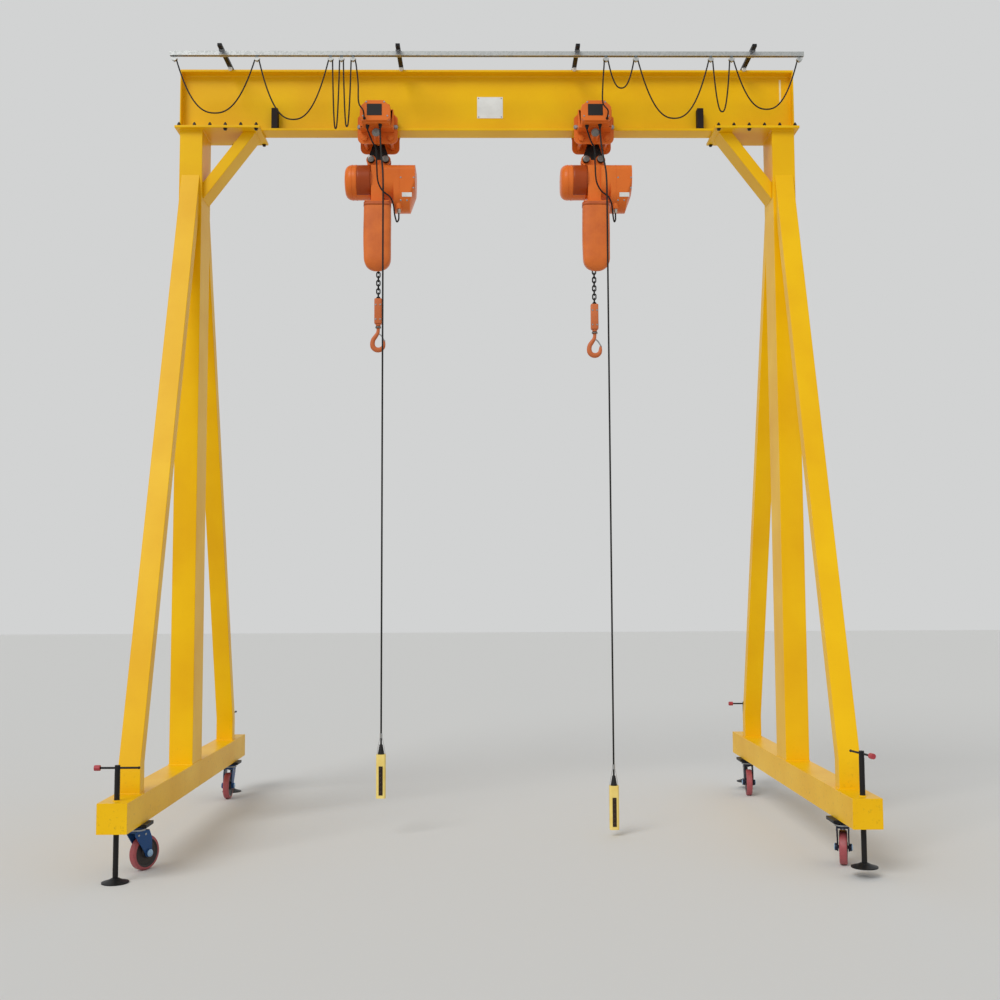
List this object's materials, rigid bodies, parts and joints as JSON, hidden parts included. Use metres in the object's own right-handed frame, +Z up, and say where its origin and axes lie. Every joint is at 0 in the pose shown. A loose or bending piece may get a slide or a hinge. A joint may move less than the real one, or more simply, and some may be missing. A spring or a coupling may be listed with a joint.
{
  "type": "portable A-frame gantry crane",
  "caption": "Portable steel A-frame gantry crane on swivel casters and screw jacks, with two electric chain hoists on trolleys under one beam",
  "frame": {"origin": "on the floor, under the middle of the beam", "axes": "+X along the beam, to the right in the picture; +Y away from the viewer; +Z up"},
  "size_m": [4.456, 3.2803, 5.37],
  "materials": {
    "yellow_paint": "gloss enamel",
    "orange_paint": "gloss enamel",
    "black_steel": "satin",
    "dark_caster_steel": "satin",
    "blue_fork_paint": "gloss",
    "dark_steel": "oiled",
    "galvanised_steel": "zinc coated",
    "machined_steel": "turned",
    "wheel_polyurethane": "satin",
    "black_rubber": "matte",
    "cable_rubber": "matte",
    "bag_canvas": "woven, coated",
    "chain_steel": "blackened",
    "pendant_plastic": "moulded"
  },
  "bodies": {
    "frame": {"main_beam": "yellow_paint", "saddle_plates": "yellow_paint", "trolley_stops": "black_rubber", "left_column": "yellow_paint", "right_column": "yellow_paint", "left_front_leg": "yellow_paint", "left_rear_leg": "yellow_paint", "right_front_leg": "yellow_paint", "right_rear_leg": "yellow_paint", "left_foot_beam": "yellow_paint", "right_foot_beam": "yellow_paint", "knee_braces": "yellow_paint", "festoon_track": "galvanised_steel", "festoon_arms": "black_steel", "festoon_carriers": "galvanised_steel", "left_festoon_cable": "cable_rubber", "right_festoon_cable": "cable_rubber", "caster_plates": "dark_caster_steel"},
    "left_front_jack": {"left_front_jack": "black_steel"},
    "left_rear_jack": {"left_rear_jack": "black_steel"},
    "right_front_jack": {"right_front_jack": "black_steel"},
    "right_rear_jack": {"right_rear_jack": "black_steel"},
    "left_front_caster": {"left_front_fork": "blue_fork_paint"},
    "left_front_wheel": {"left_front_wheel": "wheel_polyurethane"},
    "left_rear_caster": {"left_rear_fork": "blue_fork_paint"},
    "left_rear_wheel": {"left_rear_wheel": "wheel_polyurethane"},
    "right_front_caster": {"right_front_fork": "blue_fork_paint"},
    "right_front_wheel": {"right_front_wheel": "wheel_polyurethane"},
    "right_rear_caster": {"right_rear_fork": "blue_fork_paint"},
    "right_rear_wheel": {"right_rear_wheel": "wheel_polyurethane"},
    "left_trolley": {"left_trolley_frame": "orange_paint", "left_trolley_wheels": "machined_steel", "left_trolley_drive": "orange_paint", "left_hoist_body": "orange_paint", "left_suspender": "dark_steel", "left_control_box": "orange_paint", "left_control_cable": "cable_rubber", "left_chain_bag": "bag_canvas", "left_load_chain": "chain_steel", "left_pendant_cable": "cable_rubber", "left_pendant": "pendant_plastic"},
    "left_hook_block": {"left_hook_block": "orange_paint"},
    "left_hook": {"left_hook": "orange_paint"},
    "right_trolley": {"right_trolley_frame": "orange_paint", "right_trolley_wheels": "machined_steel", "right_trolley_drive": "orange_paint", "right_hoist_body": "orange_paint", "right_suspender": "dark_steel", "right_control_box": "orange_paint", "right_control_cable": "cable_rubber", "right_chain_bag": "bag_canvas", "right_load_chain": "chain_steel", "right_pendant_cable": "cable_rubber", "right_pendant": "pendant_plastic"},
    "right_hook_block": {"right_hook_block": "orange_paint"},
    "right_hook": {"right_hook": "orange_paint"}
  },
  "joints": [
    {"name": "left_front_jack_screw", "type": "slide", "parent": "frame", "child": "left_front_jack", "axis": [0, 0, 1], "range_m": [0, 0.12]},
    {"name": "left_rear_jack_screw", "type": "slide", "parent": "frame", "child": "left_rear_jack", "axis": [0, 0, 1], "range_m": [0, 0.12]},
    {"name": "right_front_jack_screw", "type": "slide", "parent": "frame", "child": "right_front_jack", "axis": [0, 0, 1], "range_m": [-0.055, 0.065]},
    {"name": "right_rear_jack_screw", "type": "slide", "parent": "frame", "child": "right_rear_jack", "axis": [0, 0, 1], "range_m": [-0.055, 0.065]},
    {"name": "left_front_swivel", "type": "hinge", "parent": "frame", "child": "left_front_caster", "pos_m": [-2.06, -1.25, 0.26], "axis": [0, 0, 1], "continuous": true},
    {"name": "left_front_roll", "type": "hinge", "parent": "left_front_caster", "child": "left_front_wheel", "pos_m": [-2.03, -1.19804, 0.1], "axis": [-0.866, 0.5, 0], "continuous": true},
    {"name": "left_rear_swivel", "type": "hinge", "parent": "frame", "child": "left_rear_caster", "pos_m": [-2.06, 1.25, 0.26], "axis": [0, 0, 1], "continuous": true},
    {"name": "left_rear_roll", "type": "hinge", "parent": "left_rear_caster", "child": "left_rear_wheel", "pos_m": [-2.06, 1.19, 0.1], "axis": [1, 0, 0], "continuous": true},
    {"name": "right_front_swivel", "type": "hinge", "parent": "frame", "child": "right_front_caster", "pos_m": [2.06, -1.25, 0.26], "axis": [0, 0, 1], "continuous": true},
    {"name": "right_front_roll", "type": "hinge", "parent": "right_front_caster", "child": "right_front_wheel", "pos_m": [2.07854, -1.19294, 0.1], "axis": [-0.9511, 0.309, 0], "continuous": true},
    {"name": "right_rear_swivel", "type": "hinge", "parent": "frame", "child": "right_rear_caster", "pos_m": [2.06, 1.25, 0.26], "axis": [0, 0, 1], "continuous": true},
    {"name": "right_rear_roll", "type": "hinge", "parent": "right_rear_caster", "child": "right_rear_wheel", "pos_m": [2.05165, 1.19058, 0.1], "axis": [0.9903, -0.1392, 0], "continuous": true},
    {"name": "left_trolley_travel", "type": "slide", "parent": "frame", "child": "left_trolley", "axis": [1, 0, 0], "range_m": [-0.57, 0.525]},
    {"name": "left_hook_lift", "type": "slide", "parent": "left_trolley", "child": "left_hook_block", "axis": [0, 0, 1], "range_m": [-2.9, 0.6], "deforming": ["left_load_chain"]},
    {"name": "left_hook_swivel", "type": "hinge", "parent": "left_hook_block", "child": "left_hook", "pos_m": [-0.785, 0, 3.498], "axis": [0, 0, 1], "continuous": true},
    {"name": "right_trolley_travel", "type": "slide", "parent": "frame", "child": "right_trolley", "axis": [1, 0, 0], "range_m": [-0.495, 0.6]},
    {"name": "right_hook_lift", "type": "slide", "parent": "right_trolley", "child": "right_hook_block", "axis": [0, 0, 1], "range_m": [-2.9, 0.6], "deforming": ["right_load_chain"]},
    {"name": "right_hook_swivel", "type": "hinge", "parent": "right_hook_block", "child": "right_hook", "pos_m": [0.755, 0, 3.456], "axis": [0, 0, 1], "continuous": true}
  ]
}
